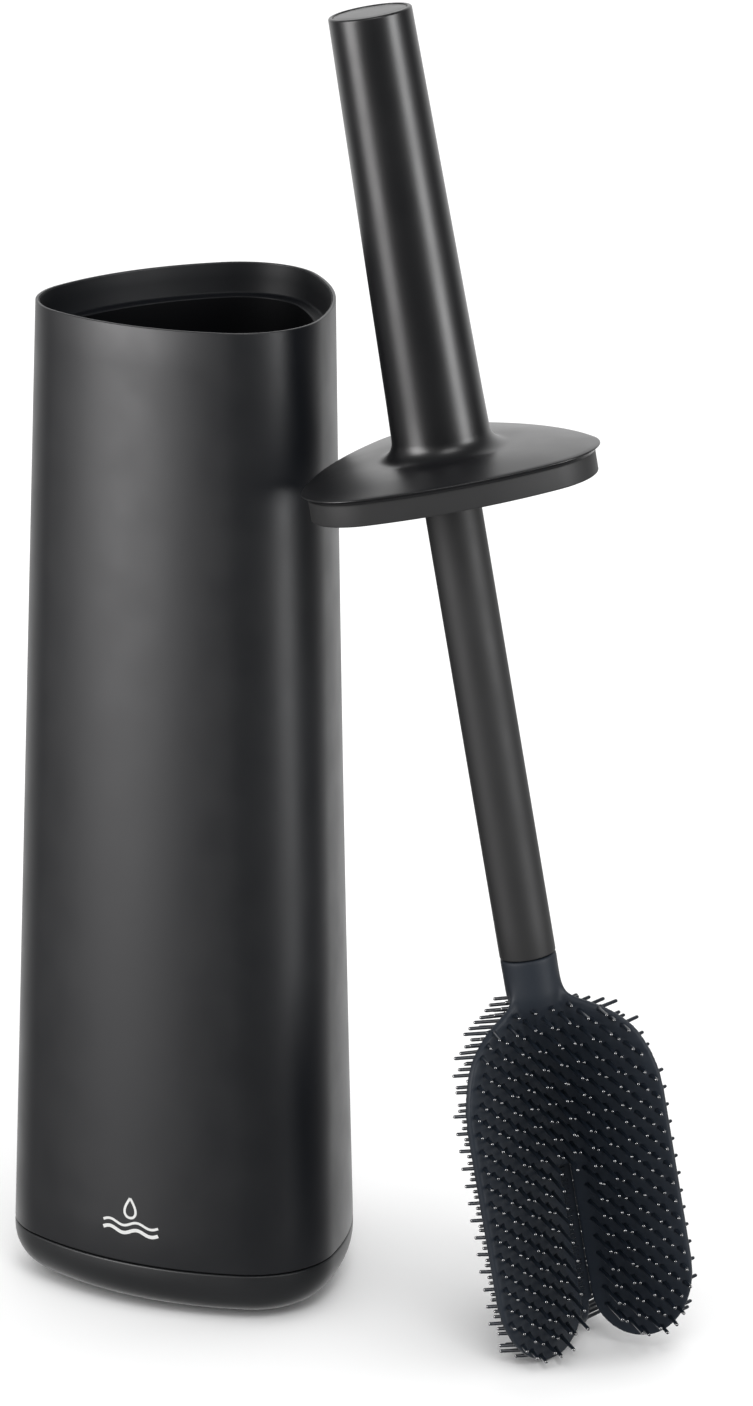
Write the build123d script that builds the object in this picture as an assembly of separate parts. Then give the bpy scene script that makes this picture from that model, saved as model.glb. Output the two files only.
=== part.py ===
from build123d import *
import math
import os

# Toilet brush with its floor-standing holder, in millimetres, +Z up.
# The origin is the centre of the holder's flat rubber foot. The brush stands beside the
# holder on its rubber head and leans to the left, towards -X.

# ---- holder ----
HOLDER_HEIGHT = 310.0
SEAM_Z = 16.0            # top of the base pan, where the sleeve starts
SEAM_GAP = 0.4
RIM_CORNER = 49.2        # axis to the rounded corner, at the rim
RIM_SIDE = 40.9          # axis to the middle of a side, at the rim
RIM_ROUND = 25.4         # corner radius, at the rim
RIM_OFFSET = 1.7         # how far the rim's centre is to the right of the base's centre
SEAM_CORNER = 58.0
SEAM_SIDE = 47.4
SEAM_ROUND = 26.5
SIDE_BOW = 0.5           # how far the sides are hollow between rim and seam
SLEEVE_WALL = 2.2
LIP_WALL = 1.0           # the thin lip at the rim
LIP_DEPTH = 12.0
FUNNEL_DEPTH = 9.5       # from the rim down to the ledge that the lid rests on
FUNNEL_INSET = 2.6
MOUTH_INSET = 6.3
COLLAR_SKIRT = 38.0
COLLAR_SKIRT_WALL = 1.8
FIT_GAP = 0.1            # between pieces that stay together
FREE_GAP = 0.5           # between pieces that come apart
BASE_BOTTOM = 1.0
BASE_EDGE_RADIUS = 13.0
BASE_FLOOR = 2.7
SPIGOT_TOP = 36.0
SPIGOT_WALL = 2.0
TRAY_EDGE_RADIUS = 9.0   # inside the base pan
FOOT_THICKNESS = 1.8
FOOT_INSET = 15.0
FOOT_GROOVE_WIDTH = 2.0
CUP_HEIGHT = 86.0
CUP_WALL = 1.6
CUP_FLOOR = 2.0
CUP_EDGE_RADIUS = 6.0
CUP_RIM = 0.7
CUP_LIFT_GAP = 2.5       # extra room around the cup, so that it lifts straight out

# ---- brush, in its own frame: Z along the shaft, zero at the tips of the fins ----
BRUSH_FOOT = (118.3, -70.0, 1.75)
LEAN_LEFT = 9.38
LEAN_BACK = 2.84
BRUSH_LENGTH = 410.8
LID_EDGE = 276.6         # height of the lid's widest edge
LID_CORNER = 48.0
LID_SIDE = 38.1
LID_ROUND = 21.6
LID_TURN = 35.8          # turn of the lid about the shaft, from a corner towards -X
LID_EDGE_THICKNESS = 1.6
LID_EDGE_TAPER = 1.3     # the lid's edge draws in towards its underside
LID_DOME = 2.6
SKIRT_BOTTOM = 268.4
SKIRT_INSET = 1.75
SKIRT_WALL = 1.8
HANDLE_LOW_RADIUS = 14.6
HANDLE_TOP_RADIUS = 12.3
HANDLE_FILLET = 5.5
HANDLE_BORE = 8.7
END_EDGE_RADIUS = 0.7
END_CAP_RADIUS = 11.0
END_CAP_THICKNESS = 2.6
SHAFT_RADIUS = 8.5
SHAFT_BORE = 6.3
SHAFT_BOTTOM = 123.3
SHAFT_TOP = 352.0
ROD_RADIUS = 4.0
ROD_TOP = 388.0
SPIGOT_RADIUS = 6.2
HEAD_TOP = 110.5         # where the rubber neck ends and the fins start
NECK_CORE_RADIUS = 5.0
FIN_TURN = 222.5         # direction of the left fin, about the shaft
FIN_REACH = 35.0
FIN_THICKNESS = 2.4
FIN_EDGE_RADIUS = 1.0
FIN_SHOULDER = 78.0
FIN_LOW_CORNER = 24.0
FIN_LOWEST = 17.0        # distance from the axis to the lowest point of a fin
FIN_INNER_CORNER = 15.0
SLIT_TOP = 57.0
SLIT_HALF_WIDTH = 2.5
BACK_FIN_START = 0.3     # the back fin reaches in behind the slit of the other two
BACK_RIB_END = 3.0       # a thicker rib along its inner edge closes that slit
BACK_RIB_WIDTH = 4.6
BACK_RIB_LOW = 12.0
WEB_RADIUS = 16.0        # hollow radius between two fins, above the slits
WEB_REACH = 14.0
BRISTLE_RADIUS = 0.55
BRISTLE_PITCH = 5.5
BRISTLE_ROWS = 17
BRISTLE_COLUMNS = 5      # on each side of the middle one
BRISTLE_TIP_MIDDLE = 22.6
BRISTLE_TIP_EDGE = 23.2

SIDES = 3


def rounded_triangle(corner, side, round_radius, turn=0.0):
    """A rounded triangle about the axis, one corner towards -X: six arcs, all tangent."""
    centre = corner - round_radius
    rest = side - round_radius
    back = (rest ** 2 - centre ** 2) / (centre - 2 * rest)
    arcs = []
    for index in range(SIDES):
        corner_angle = math.radians(180.0 + turn + index * 360.0 / SIDES)
        side_angle = corner_angle + math.pi / SIDES
        here = Vector(math.cos(corner_angle), math.sin(corner_angle)) * centre
        there_angle = corner_angle + 2 * math.pi / SIDES
        there = Vector(math.cos(there_angle), math.sin(there_angle)) * centre
        side_way = Vector(math.cos(side_angle), math.sin(side_angle))
        before_angle = corner_angle - math.pi / SIDES
        before_way = Vector(math.cos(before_angle), math.sin(before_angle))
        first = here + (here + before_way * back).normalized() * round_radius
        last = here + (here + side_way * back).normalized() * round_radius
        following = there + (there + side_way * back).normalized() * round_radius
        tip = here + here.normalized() * round_radius
        arcs.append(ThreePointArc(first, tip, last))
        arcs.append(ThreePointArc(last, side_way * side, following))
    return make_face(Wire(arcs))


def holder_section(height, inset):
    """The holder's plan at a height, drawn in by an inset."""
    share = (height - SEAM_Z) / (HOLDER_HEIGHT - SEAM_Z)
    bow = SIDE_BOW * 4.0 * share * (1.0 - share)
    corner = SEAM_CORNER + (RIM_CORNER - SEAM_CORNER) * share - inset
    side = SEAM_SIDE + (RIM_SIDE - SEAM_SIDE) * share - bow - inset
    round_radius = SEAM_ROUND + (RIM_ROUND - SEAM_ROUND) * share - inset
    section = rounded_triangle(corner, side, round_radius)
    return Pos(RIM_OFFSET * share, 0, height) * section


def holder_solid(low, high, inset):
    """The space inside the holder's outer surface, drawn in by an inset."""
    middle = (low + high) / 2
    return loft([holder_section(z, inset) for z in (low, middle, high)])


def lid_section(inset):
    return rounded_triangle(LID_CORNER - inset, LID_SIDE - inset, LID_ROUND - inset, LID_TURN)


def disc(radius, low, high):
    return Pos(0, 0, low) * extrude(Circle(radius), high - low)


# ---- holder pieces ----

def outer_sleeve():
    lip_z = HOLDER_HEIGHT - LIP_DEPTH
    low = SEAM_Z + SEAM_GAP
    sleeve = holder_solid(low, HOLDER_HEIGHT, 0)
    sleeve -= holder_solid(low - 5, lip_z, SLEEVE_WALL)
    return sleeve - holder_solid(lip_z, HOLDER_HEIGHT + 5, LIP_WALL)


def mouth_collar():
    """The funnel and ledge inside the rim, with a skirt that hangs inside the sleeve."""
    lip_z = HOLDER_HEIGHT - LIP_DEPTH
    ledge_z = HOLDER_HEIGHT - FUNNEL_DEPTH
    top = HOLDER_HEIGHT - 0.4
    skirt_inset = MOUTH_INSET - COLLAR_SKIRT_WALL
    collar = holder_solid(lip_z, top, LIP_WALL + FIT_GAP)
    collar += holder_solid(HOLDER_HEIGHT - COLLAR_SKIRT, lip_z, skirt_inset)
    slope = (FUNNEL_INSET - LIP_WALL - 2 * FIT_GAP) / (top - ledge_z)
    funnel_top = FUNNEL_INSET - slope * (top + 2 - ledge_z)
    collar -= loft([holder_section(ledge_z, FUNNEL_INSET), holder_section(top + 2, funnel_top)])
    return collar - holder_solid(HOLDER_HEIGHT - COLLAR_SKIRT - 5, ledge_z + 1, MOUTH_INSET)


def cup_section(height, inset):
    """The cup's plan: the same all the way up, so that it lifts out of the sleeve."""
    clear = SLEEVE_WALL + SPIGOT_WALL + 2 * FREE_GAP + CUP_LIFT_GAP
    share = (CUP_HEIGHT - SEAM_Z) / (HOLDER_HEIGHT - SEAM_Z)
    corner = SEAM_CORNER + (RIM_CORNER - SEAM_CORNER) * share - clear - inset
    side = SEAM_SIDE + (RIM_SIDE - SEAM_SIDE) * share - SIDE_BOW - clear - inset
    round_radius = SEAM_ROUND + (RIM_ROUND - SEAM_ROUND) * share - clear - inset
    return Pos(0, 0, height) * rounded_triangle(corner, side, round_radius)


def drip_cup():
    low = BASE_BOTTOM + BASE_FLOOR + 0.3
    cup = extrude(cup_section(low, 0), CUP_HEIGHT - low)
    cup = fillet(cup.faces().sort_by(Axis.Z)[0].edges(), CUP_EDGE_RADIUS)
    inside = extrude(cup_section(low + CUP_FLOOR, CUP_WALL), CUP_HEIGHT)
    cup -= fillet(inside.faces().sort_by(Axis.Z)[0].edges(), CUP_EDGE_RADIUS - CUP_WALL)
    rim = extrude(cup_section(CUP_HEIGHT - 2.4, -CUP_RIM), 2.4)
    rim -= extrude(cup_section(CUP_HEIGHT - 3, 0), 4)
    return cup + rim


def base_pan():
    seam = holder_section(SEAM_Z, 0)
    pan = extrude(Pos(0, 0, BASE_BOTTOM - SEAM_Z) * seam, SEAM_Z - BASE_BOTTOM)
    pan = fillet(pan.faces().sort_by(Axis.Z)[0].edges(), BASE_EDGE_RADIUS)
    pan = fillet(pan.faces().sort_by(Axis.Z)[-1].edges(), 0.5)
    spigot_inset = SLEEVE_WALL + FREE_GAP
    floor_z = BASE_BOTTOM + BASE_FLOOR
    pan += holder_solid(SEAM_Z - 4, SPIGOT_TOP, spigot_inset)
    inside = holder_solid(floor_z, SPIGOT_TOP + 1, spigot_inset + SPIGOT_WALL)
    pan -= fillet(inside.faces().sort_by(Axis.Z)[0].edges(), TRAY_EDGE_RADIUS)
    recess = Pos(0, 0, -1) * extrude(foot_outline(-FIT_GAP), FOOT_THICKNESS + 1)
    return pan - recess


def foot_outline(inset):
    drawn_in = FOOT_INSET + inset
    return rounded_triangle(SEAM_CORNER - drawn_in, SEAM_SIDE - drawn_in, SEAM_ROUND - drawn_in)


def foot_mat():
    """The non-slip rubber foot, with one moulded groove near its edge."""
    mat = extrude(foot_outline(0), FOOT_THICKNESS)
    groove = foot_outline(4.0) - foot_outline(4.0 + FOOT_GROOVE_WIDTH)
    return mat - extrude(groove, 0.5)


# ---- brush pieces, in the brush's own frame ----

def handle_grip():
    """The handle with the lid's top in one piece, hollow for the shaft."""
    lid_top = LID_EDGE + LID_DOME
    low_plate = Pos(0, 0, LID_EDGE - LID_EDGE_THICKNESS) * lid_section(LID_EDGE_TAPER)
    edge_plate = Pos(0, 0, LID_EDGE) * lid_section(0)
    lid = loft([low_plate, edge_plate])
    lid += loft([edge_plate, Pos(0, 0, lid_top) * lid_section(16.0)])
    grip = Solid.make_cone(
        HANDLE_LOW_RADIUS, HANDLE_TOP_RADIUS, BRUSH_LENGTH - lid_top + 1.5,
        Plane((0, 0, lid_top - 1.5)),
    )
    grip = fillet(grip.faces().sort_by(Axis.Z)[-1].edges(), END_EDGE_RADIUS)
    root = Solid.make_cone(
        HANDLE_LOW_RADIUS + HANDLE_FILLET, HANDLE_LOW_RADIUS - 0.1, HANDLE_FILLET,
        Plane((0, 0, lid_top)),
    )
    ring = Pos(0, 0, lid_top + HANDLE_FILLET) * Torus(
        HANDLE_LOW_RADIUS + HANDLE_FILLET, HANDLE_FILLET,
    )
    body = lid + grip + (root - ring)
    body -= disc(HANDLE_BORE, LID_EDGE - 5, SHAFT_TOP + 0.2)
    body -= disc(ROD_RADIUS + FIT_GAP, SHAFT_TOP, ROD_TOP + FIT_GAP)
    body -= disc(2.1, ROD_TOP, BRUSH_LENGTH)
    body -= disc(3.8, BRUSH_LENGTH - END_CAP_THICKNESS - 6, BRUSH_LENGTH)
    return body - disc(END_CAP_RADIUS, BRUSH_LENGTH - END_CAP_THICKNESS, BRUSH_LENGTH + 1)


def end_cap():
    low = BRUSH_LENGTH - END_CAP_THICKNESS
    cap = disc(END_CAP_RADIUS - FIT_GAP, low, BRUSH_LENGTH - 0.3)
    return fillet(cap.faces().sort_by(Axis.Z)[-1].edges(), 0.4)


def rod_screw():
    """The screw under the end cap that holds the steel rod in the handle."""
    head_low = BRUSH_LENGTH - END_CAP_THICKNESS - 6
    screw = disc(2.0, ROD_TOP - 10, head_low) + disc(3.5, head_low, head_low + 3)
    socket = extrude(RegularPolygon(1.5, 6), 2)
    return screw - Pos(0, 0, head_low + 1.4) * socket


def lid_skirt():
    """The lid's lower half: a plate under the lid with the skirt that seats in the mouth."""
    top = LID_EDGE - LID_EDGE_THICKNESS
    skirt = Pos(0, 0, SKIRT_BOTTOM) * extrude(lid_section(SKIRT_INSET), top - SKIRT_BOTTOM)
    inside = Pos(0, 0, SKIRT_BOTTOM - 1) * extrude(
        lid_section(SKIRT_INSET + SKIRT_WALL), top - SKIRT_BOTTOM - 0.8,
    )
    skirt -= inside
    skirt += disc(SHAFT_RADIUS + 2.0, SKIRT_BOTTOM, top)
    return skirt - disc(SHAFT_RADIUS + FIT_GAP, SKIRT_BOTTOM - 1, top + 1)


def shaft_tube():
    tube = disc(SHAFT_RADIUS, SHAFT_BOTTOM, SHAFT_TOP)
    return tube - disc(SHAFT_BORE, SHAFT_BOTTOM - 1, SHAFT_TOP + 1)


def core_rod():
    """The steel rod that stiffens the hollow shaft, tapped for the screw at its top."""
    rod = disc(ROD_RADIUS, SHAFT_BOTTOM + 28, ROD_TOP)
    return rod - disc(2.05, ROD_TOP - 14, ROD_TOP + 1)


def head_spigot():
    """The rigid core of the neck: it plugs into the shaft and holds the rod's lower end."""
    spigot = disc(SPIGOT_RADIUS, SHAFT_BOTTOM, SHAFT_BOTTOM + 40)
    spigot += disc(NECK_CORE_RADIUS, HEAD_TOP + 6, SHAFT_BOTTOM)
    return spigot - disc(ROD_RADIUS + FIT_GAP, SHAFT_BOTTOM + 28, SHAFT_BOTTOM + 41)


def neck_collar():
    """The rubber neck between the shaft and the fins, where the head bends."""
    neck = disc(SHAFT_RADIUS, HEAD_TOP, SHAFT_BOTTOM - 0.2)
    return neck - disc(NECK_CORE_RADIUS + FIT_GAP, HEAD_TOP + 6 - FIT_GAP, SHAFT_BOTTOM)


def web_profile():
    """The three-armed section of the head's core, hollow between its arms."""
    half = FIN_THICKNESS / 2
    sine = math.sin(math.pi / SIDES)
    out = (WEB_RADIUS + half) / sine
    touch = out * math.cos(math.pi / SIDES)
    edges = []
    for index in range(SIDES):
        turn = math.radians(FIN_TURN + index * 360.0 / SIDES)
        arm = Vector(math.cos(turn), math.sin(turn))
        left = Vector(-math.sin(turn), math.cos(turn))
        face_turn = turn + math.pi / SIDES
        face = Vector(math.cos(face_turn), math.sin(face_turn))
        next_turn = turn + 2 * math.pi / SIDES
        next_arm = Vector(math.cos(next_turn), math.sin(next_turn))
        next_right = Vector(math.sin(next_turn), -math.cos(next_turn))
        end_right = arm * WEB_REACH - left * half
        end_left = arm * WEB_REACH + left * half
        root = arm * touch + left * half
        next_root = next_arm * touch + next_right * half
        edges.append(Line(arm * touch - left * half, end_right))
        edges.append(Line(end_right, end_left))
        edges.append(Line(end_left, root))
        edges.append(ThreePointArc(root, face * (out - WEB_RADIUS), next_root))
    return make_face(Wire(edges))


def head_core():
    """The thick middle of the head above the slits, flaring into the neck."""
    core = Pos(0, 0, SLIT_TOP) * extrude(web_profile(), HEAD_TOP - SLIT_TOP)
    flare_line = Spline(
        (SHAFT_RADIUS, HEAD_TOP), (3.2, HEAD_TOP - 16),
        tangents=((-0.25, -1), (-0.45, -1)),
    )
    outline = Wire([
        Line((0, HEAD_TOP), (SHAFT_RADIUS, HEAD_TOP)),
        flare_line,
        Line((3.2, HEAD_TOP - 16), (0, HEAD_TOP - 16)),
        Line((0, HEAD_TOP - 16), (0, HEAD_TOP)),
    ])
    flare = revolve(Plane.XZ * make_face(outline), Axis.Z)
    return core + flare


def fin_outline(inner):
    """One fin seen from its side: shoulder, straight edge and a rounded lower lobe."""
    shoulder = Spline(
        (SHAFT_RADIUS, HEAD_TOP), (16.2, 107.0), (25.0, 102.0), (31.5, 94.0),
        (FIN_REACH, FIN_SHOULDER),
        tangents=((1, -0.25), (0, -1)),
    )
    edges = [
        Line((inner, SLIT_TOP), (5.0, SLIT_TOP + 2)),
        Line((5.0, SLIT_TOP + 2), (5.0, HEAD_TOP)),
        Line((5.0, HEAD_TOP), (SHAFT_RADIUS, HEAD_TOP)),
        shoulder,
        Line((FIN_REACH, FIN_SHOULDER), (FIN_REACH, FIN_LOW_CORNER)),
        EllipticalCenterArc(
            (FIN_LOWEST, FIN_LOW_CORNER), FIN_REACH - FIN_LOWEST, FIN_LOW_CORNER, 270, arc_size=90,
        ),
        EllipticalCenterArc(
            (FIN_LOWEST, FIN_INNER_CORNER), FIN_LOWEST - inner, FIN_INNER_CORNER, 180, arc_size=90,
        ),
        Line((inner, FIN_INNER_CORNER), (inner, SLIT_TOP)),
    ]
    return make_face(Wire(edges))


def fin(index, core, inner):
    plate = extrude(Plane.XZ * fin_outline(inner), FIN_THICKNESS / 2, both=True)
    inner_corner = inner - 0.01
    rim = [
        edge for edge in plate.edges()
        if abs(abs(edge.center().Y) - FIN_THICKNESS / 2) < 0.01
        and not (edge.center().X < 8.0 and edge.center().Z > SLIT_TOP)
        and edge.center().X > inner_corner
    ]
    plate = fillet(rim, FIN_EDGE_RADIUS)
    turned = Rot(0, 0, FIN_TURN + index * 360.0 / SIDES) * plate
    return turned - core


def back_fin(core):
    rib = Pos(BACK_FIN_START, 0, BACK_RIB_LOW) * Box(
        BACK_RIB_END - BACK_FIN_START, BACK_RIB_WIDTH, SLIT_TOP - 0.2 - BACK_RIB_LOW,
        align=(Align.MIN, Align.CENTER, Align.MIN),
    )
    rib = fillet(rib.edges().filter_by(Axis.Z), 0.6)
    turned = Rot(0, 0, FIN_TURN + 2 * 360.0 / SIDES) * rib
    return fin(2, core, BACK_FIN_START) + (turned - core)


def fin_reach_at(height):
    """How far from the axis a fin reaches at a height."""
    if height < FIN_LOW_CORNER:
        low = (FIN_LOW_CORNER - height) / FIN_LOW_CORNER
        return FIN_LOWEST + (FIN_REACH - FIN_LOWEST) * math.sqrt(1 - low ** 2)
    if height < FIN_SHOULDER:
        return FIN_REACH
    high = (height - FIN_SHOULDER) / (HEAD_TOP - FIN_SHOULDER)
    return FIN_REACH - (FIN_REACH - SHAFT_RADIUS) * high ** 2.6


def fin_start_at(height):
    """How near the axis a fin starts at a height below the slits."""
    if height > FIN_INNER_CORNER:
        return SLIT_HALF_WIDTH
    low = (FIN_INNER_CORNER - height) / FIN_INNER_CORNER
    return FIN_LOWEST - (FIN_LOWEST - SLIT_HALF_WIDTH) * math.sqrt(1 - low ** 2)


def surface_height(across):
    """Height of the fins' faces above the axis, along a face's normal."""
    half = FIN_THICKNESS / 2
    out = (WEB_RADIUS + half) / math.sin(math.pi / SIDES)
    touch = out * math.cos(math.pi / SIDES) * math.sin(math.pi / SIDES)
    if across < touch:
        return out - math.sqrt(WEB_RADIUS ** 2 - across ** 2)
    return across / math.tan(math.pi / SIDES) + half / math.sin(math.pi / SIDES)


def bristle(across, height):
    start = surface_height(abs(across) + BRISTLE_RADIUS) + 0.1
    share = abs(across) / (BRISTLE_COLUMNS * BRISTLE_PITCH)
    tip = BRISTLE_TIP_MIDDLE + (BRISTLE_TIP_EDGE - BRISTLE_TIP_MIDDLE) * share ** 2
    return Solid.make_cylinder(
        BRISTLE_RADIUS, tip - start, Plane((start, across, height), z_dir=(1, 0, 0)),
    )


def bristles(index):
    """The bristles between two fins, all parallel to the normal of that face."""
    face_turn = FIN_TURN + (index + 0.5) * 360.0 / SIDES
    pegs = []
    for row in range(1, BRISTLE_ROWS + 1):
        height = row * BRISTLE_PITCH
        for column in range(-BRISTLE_COLUMNS, BRISTLE_COLUMNS + 1):
            across = column * BRISTLE_PITCH
            along_fin = abs(across) / math.sin(math.pi / SIDES)
            if along_fin > fin_reach_at(height) - 1.6:
                continue
            if height < SLIT_TOP + 1.0 and along_fin < fin_start_at(height) + 1.6:
                continue
            pegs.append(bristle(across, height))
    return Rot(0, 0, face_turn) * Compound(pegs)


# ---- the brush's place ----

def brush_plane():
    lean = math.radians(LEAN_LEFT)
    back = math.radians(LEAN_BACK)
    along = Vector(-math.sin(lean) * math.cos(back), math.sin(back), math.cos(lean) * math.cos(back))
    right = Vector(0, 1, 0).cross(along).normalized()
    return Plane(origin=BRUSH_FOOT, x_dir=right, z_dir=along)


def write(name, shape, place=Location()):
    export_step(place * shape, f"parts/{name}.step")


os.makedirs("parts", exist_ok=True)

write("base_pan", base_pan())
write("foot_mat", foot_mat())
write("drip_cup", drip_cup())
write("outer_sleeve", outer_sleeve())
write("mouth_collar", mouth_collar())

brush = brush_plane().location
core = head_core()
write("handle_grip", handle_grip(), brush)
write("end_cap", end_cap(), brush)
write("rod_screw", rod_screw(), brush)
write("lid_skirt", lid_skirt(), brush)
write("shaft_tube", shaft_tube(), brush)
write("core_rod", core_rod(), brush)
write("head_spigot", head_spigot(), brush)
write("neck_collar", neck_collar(), brush)
write("head_core", core, brush)
write("fin_left", fin(0, core, SLIT_HALF_WIDTH), brush)
write("fin_right", fin(1, core, SLIT_HALF_WIDTH), brush)
write("fin_back", back_fin(core), brush)
for number, side in enumerate(("front", "right", "left")):
    write(f"bristles_{side}", bristles(number), brush)
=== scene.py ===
import math
import random

import bmesh
import bpy
from mathutils import Matrix, Vector


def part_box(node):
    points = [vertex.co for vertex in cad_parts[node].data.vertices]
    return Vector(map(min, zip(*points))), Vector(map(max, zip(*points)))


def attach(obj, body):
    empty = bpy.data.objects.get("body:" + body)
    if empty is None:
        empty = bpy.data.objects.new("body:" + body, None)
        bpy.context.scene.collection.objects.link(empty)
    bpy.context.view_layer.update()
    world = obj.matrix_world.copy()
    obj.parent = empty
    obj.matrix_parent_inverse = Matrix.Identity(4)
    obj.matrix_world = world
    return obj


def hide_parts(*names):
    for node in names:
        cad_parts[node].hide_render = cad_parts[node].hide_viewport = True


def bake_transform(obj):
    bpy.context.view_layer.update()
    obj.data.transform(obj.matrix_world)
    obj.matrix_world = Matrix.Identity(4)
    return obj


# A tall black toilet brush holder with its brush standing beside it on a pale floor.
# Lengths are in millimetres until MM turns them into metres. The floor, camera and lights are in metres.

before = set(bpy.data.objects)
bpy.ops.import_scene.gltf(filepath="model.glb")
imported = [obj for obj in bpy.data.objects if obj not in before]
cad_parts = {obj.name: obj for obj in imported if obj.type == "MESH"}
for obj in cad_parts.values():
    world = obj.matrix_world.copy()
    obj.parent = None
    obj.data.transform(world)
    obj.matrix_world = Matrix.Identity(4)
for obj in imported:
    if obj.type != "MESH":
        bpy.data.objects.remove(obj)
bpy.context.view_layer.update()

MM = 0.001
SIDES = 3
STEPS = 192                 # points around a ring; a multiple of six

# ---- holder, as the CAD has it ----
RIM_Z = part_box("outer_sleeve")[1].z / MM
SLEEVE_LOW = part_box("outer_sleeve")[0].z / MM
SEAM_Z = SLEEVE_LOW - 0.4
RIM_SHAPE = (49.2, 40.9, 25.4)      # axis to corner, axis to side, corner radius
SEAM_SHAPE = (58.0, 47.4, 26.5)
RIM_OFFSET = 1.7                    # the rim's centre is this far to the right
SIDE_BOW = 0.5
SLEEVE_WALL = 2.2
LIP_WALL = 1.0
LIP_Z = RIM_Z - 12.0
LEDGE_Z = RIM_Z - 9.5
FUNNEL_INSET = 2.6
MOUTH_INSET = 6.3
CUP_SHAPE = (48.2, 37.65, 18.54)    # the same all the way up
CUP_FLOOR = 2.0
CUP_WALL = 1.6
CUP_EDGE_RADIUS = 6.0
CUP_RIM = 0.7                       # how far the cup's rim stands out
CUP_RIM_HEIGHT = 2.4
COLLAR_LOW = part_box("mouth_collar")[0].z / MM
COLLAR_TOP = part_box("mouth_collar")[1].z / MM
BASE_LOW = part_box("base_pan")[0].z / MM
SPIGOT_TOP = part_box("base_pan")[1].z / MM
SPIGOT_WALL = 2.0
BASE_FLOOR = 2.7
BASE_EDGE_RADIUS = 13.0
TRAY_EDGE_RADIUS = 9.0              # inside the base

# ---- brush, in its own frame: Z along the shaft, zero at the tips of the fins ----
BRUSH_FOOT = Vector((118.3, -70.0, 1.75)) * MM
LEAN_LEFT = math.radians(9.38)
LEAN_BACK = math.radians(2.84)
BRUSH_LENGTH = 410.8
LID_SHAPE = (48.0, 38.1, 21.6)
LID_TURN = 35.8
LID_EDGE = 276.6
LID_TOP = 279.2
LID_UNDER = 275.0
SKIRT_LOW = 268.4
SKIRT_INSET = 1.75
HOLLOW_Z = LID_EDGE - 0.3 - SKIRT_INSET    # where the hollow under the lid's edge meets the skirt
HOLLOW_START = math.acos((LID_UNDER - HOLLOW_Z) / SKIRT_INSET)
HANDLE_LOW_RADIUS = 14.6
HANDLE_TOP_RADIUS = 12.3
HANDLE_FILLET = 5.5
CAP_RADIUS = 11.0
SHAFT_RADIUS = 8.5
SHAFT_LOW = 123.3
NECK_LOW = 110.5
CORE_TOP = NECK_LOW + 3.5
CORE_NARROWS = 88.0                 # above this the head's thick middle rounds off into the neck
FIN_TURN = 222.5
FIN_REACH = 35.0
FIN_THICKNESS = 2.4
FIN_SHOULDER = 78.0
FIN_LOW_CORNER = 24.0
FIN_LOWEST = 17.0
FIN_INNER_CORNER = 15.0
SLIT_TOP = 57.0
SLIT_HALF_WIDTH = 2.5
BACK_FIN_START = 0.3
WEB_RADIUS = 16.0
WEB_REACH = 14.0
PITCH = 5.5
BRISTLE_ROWS = 20
BRISTLE_TOP = 107.5                 # no bristle stands higher on the head
BRISTLE_RADIUS = 0.6
TIP_REACH = 22.2                    # of the long bristles, from the brush's axis
RIGHT_TIP_REACH = 20.9
TIPS_DROP = 94.0                    # above this the long bristles get shorter
COMB_PEGS = 31                      # the short pegs in the slit
COMB_LOW = 13.5
COMB_PITCH = 1.42
BACK_RIB = (0.3, 3.0, 2.3, 12.0)    # inner and outer end, half width and lowest height

# ---- the printed mark on the sleeve ----
MARK_ANGLE = math.radians(242.25)
MARK_REACH = 47.0           # the sleeve's distance from its axis there
MARK_Z = 31.5


# ---- outlines ----

def reach(shape, angle, turn=0.0):
    """How far a rounded triangle with a corner towards -X reaches from the axis at an angle."""
    corner, side, round_radius = shape
    centre = corner - round_radius
    rest = side - round_radius
    back = (rest ** 2 - centre ** 2) / (centre - 2 * rest)
    side_radius = side + back
    half = math.pi / SIDES
    off = (angle - math.pi - math.radians(turn) + half) % (2 * half) - half
    tangent = Vector((centre + back * math.cos(half), back * math.sin(half))).normalized()
    touch = Vector((centre, 0)) + tangent * round_radius
    if abs(off) < math.atan2(touch.y, touch.x):
        return centre * math.cos(off) + math.sqrt(round_radius ** 2 - (centre * math.sin(off)) ** 2)
    away = half - abs(off)
    return -back * math.cos(away) + math.sqrt(side_radius ** 2 - (back * math.sin(away)) ** 2)


def holder_shape(z, inset):
    share = (z - SEAM_Z) / (RIM_Z - SEAM_Z)
    corner, side, round_radius = (
        low + (high - low) * share for low, high in zip(SEAM_SHAPE, RIM_SHAPE)
    )
    bow = SIDE_BOW * 4 * share * (1 - share)
    return corner - inset, side - bow - inset, round_radius - inset


def inset_shape(shape, inset):
    return tuple(size - inset for size in shape)


def angles():
    return [2 * math.pi * step / STEPS for step in range(STEPS)]


def ring_point(radius, angle, z, offset=0.0):
    return Vector((offset + radius * math.cos(angle), radius * math.sin(angle), z))


def holder_offset(z):
    return RIM_OFFSET * (z - SEAM_Z) / (RIM_Z - SEAM_Z)


def holder_point(inset, angle, z):
    return ring_point(reach(holder_shape(z, inset), angle), angle, z, holder_offset(z))


def holder_ring(inset, z):
    return [holder_point(inset, angle, z) for angle in angles()]


def base_ring(inset, z):
    return [ring_point(reach(holder_shape(SEAM_Z, inset), angle), angle, z) for angle in angles()]


def lid_ring(inset, z):
    shape = inset_shape(LID_SHAPE, inset)
    return [ring_point(reach(shape, angle, LID_TURN), angle, z) for angle in angles()]


def round_ring(radius, z):
    return [ring_point(radius, angle, z) for angle in angles()]


def mixed_ring(first, second, share, z):
    return [Vector((*a.lerp(b, share).xy, z)) for a, b in zip(first, second)]


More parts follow.
